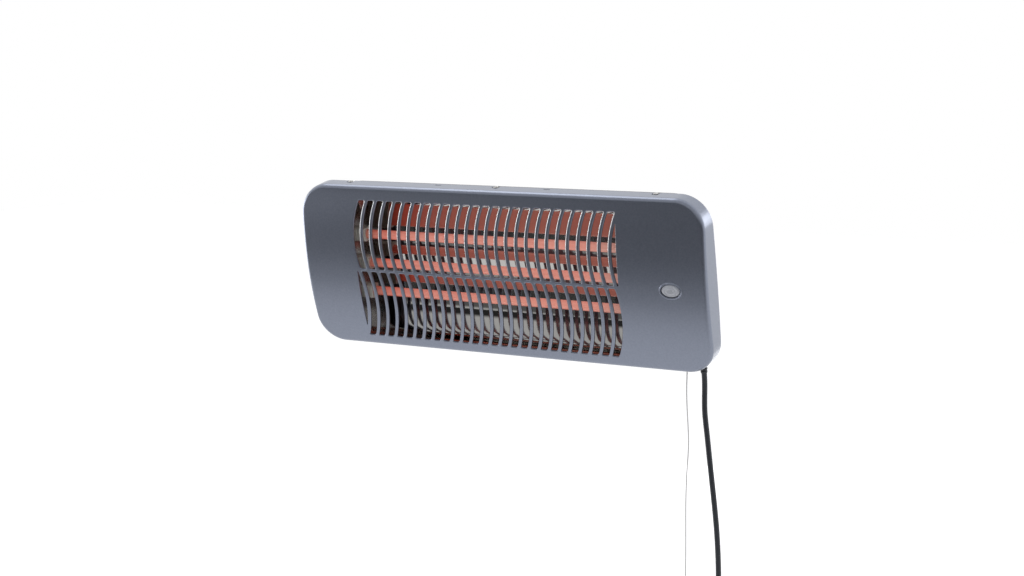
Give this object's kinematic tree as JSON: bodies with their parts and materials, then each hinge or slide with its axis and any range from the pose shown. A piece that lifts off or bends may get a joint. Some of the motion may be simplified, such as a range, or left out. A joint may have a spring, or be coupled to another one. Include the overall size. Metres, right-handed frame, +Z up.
{
  "type": "wall-mounted infrared bar heater",
  "caption": "Wall-mounted infrared bar heater: quartz tubes behind an S-barred convex grille, pull-cord switch, oval pilot lens, mains lead and plug, on a tilting wall bracket.",
  "frame": {"origin": "on the wall, at the middle of the wall bracket's plate", "axes": "+X to the heater's right seen from the front, +Y into the wall, +Z up; the face looks towards -Y"},
  "size_m": [0.588, 0.1454, 0.7103],
  "materials": {
    "cover_paint": "satin metallic blue-grey paint",
    "pan_paint": "satin grey paint",
    "bracket_paint": "satin black paint",
    "bright_steel": "zinc-plated",
    "reflector_metal": "bright rolled aluminium",
    "quartz": "milky quartz, glowing",
    "element_wire": "wound resistance wire, glowing",
    "ceramic": "unglazed ceramic",
    "brass": "plain",
    "lens": "clear moulded lens",
    "lamp": "small neon lamp",
    "white_plastic": "white thermoset",
    "black_plastic": "matte black",
    "washer_fibre": "fibre friction washer",
    "lead_rubber": "matte dark blue-black sheath",
    "wire_sleeve": "glass-fibre sleeve",
    "pull_fabric": "braided white cord"
  },
  "bodies": {
    "wall": {"wall_bracket": "bracket_paint", "pivot_bolts": "bright_steel", "pivot_washers": "washer_fibre"},
    "heater": {"tilt_bracket": "bracket_paint", "bracket_screws": "bright_steel", "rear_pan": "pan_paint", "cover_screws": "bright_steel", "front_cover": "cover_paint", "reflector": "reflector_metal", "end_plate_left": "bright_steel", "end_plate_right": "bright_steel", "quartz_tube_top": "quartz", "quartz_tube_middle": "quartz", "quartz_tube_bottom": "quartz", "element_top": "element_wire", "element_middle": "element_wire", "element_bottom": "element_wire", "caps_left": "ceramic", "caps_right": "ceramic", "terminal_pins": "bright_steel", "pilot_bezel": "cover_paint", "pilot_lens": "lens", "pilot_lamp": "lamp", "pull_switch": "white_plastic", "switch_spring": "bright_steel", "rod_guide": "white_plastic", "terminal_block": "white_plastic", "terminal_screws": "brass", "thermal_cutout": "black_plastic", "earth_stud": "brass", "cord_clamp": "white_plastic", "inner_lead": "lead_rubber", "wiring_left": "wire_sleeve", "wiring_right": "wire_sleeve", "gland_bush": "black_plastic"},
    "knob_left": {"knob_left": "black_plastic"},
    "knob_right": {"knob_right": "black_plastic"},
    "switch_lever": {"switch_lever": "black_plastic"},
    "pull_rod": {"pull_rod": "bright_steel"},
    "pull_cord": {"pull_cord": "pull_fabric", "pull_knob": "white_plastic"},
    "lead": {"strain_relief": "lead_rubber", "power_cord": "lead_rubber", "cord_coil": "lead_rubber", "cord_tie": "black_plastic", "cord_tail": "lead_rubber", "plug": "black_plastic", "plug_pins": "brass"}
  },
  "joints": [
    {"name": "heater_tilt", "type": "hinge", "parent": "wall", "child": "heater", "pos_m": [0, -0.038, 0], "axis": [1, 0, 0], "range_deg": [-12.3, 15]},
    {"name": "knob_left_turn", "type": "hinge", "parent": "wall", "child": "knob_left", "pos_m": [-0.106, -0.038, 0], "axis": [-1, 0, 0], "range_deg": [-180, 180]},
    {"name": "knob_right_turn", "type": "hinge", "parent": "wall", "child": "knob_right", "pos_m": [0.106, -0.038, 0], "axis": [1, 0, 0], "range_deg": [-180, 180]},
    {"name": "pull_slide", "type": "slide", "parent": "heater", "child": "pull_rod", "axis": [0, 0.213, -0.977], "range_m": [0, 0.01], "stiffness_N_per_m": 400, "springref_m": -0.002},
    {"name": "lever_turn", "type": "hinge", "parent": "heater", "child": "switch_lever", "pos_m": [0.214, -0.06178, -0.08809], "axis": [0, 0.977, 0.213], "range_deg": [0, 28.5]},
    {"name": "pull_swing", "type": "hinge", "parent": "pull_rod", "child": "pull_cord", "pos_m": [0.235, -0.05562, -0.11632], "axis": [1, 0, 0], "range_deg": [-15.5, 12.8]},
    {"name": "lead_swing", "type": "hinge", "parent": "heater", "child": "lead", "pos_m": [0.255, -0.05416, -0.10894], "axis": [1, 0, 0], "range_deg": [-15.5, 12.8]}
  ],
  "couplings": [
    {"joint": "pull_swing", "follows": "heater_tilt", "ratio": -1},
    {"joint": "lead_swing", "follows": "heater_tilt", "ratio": -1},
    {"joint": "lever_turn", "follows": "pull_slide", "rad_per_m": 49.6}
  ]
}
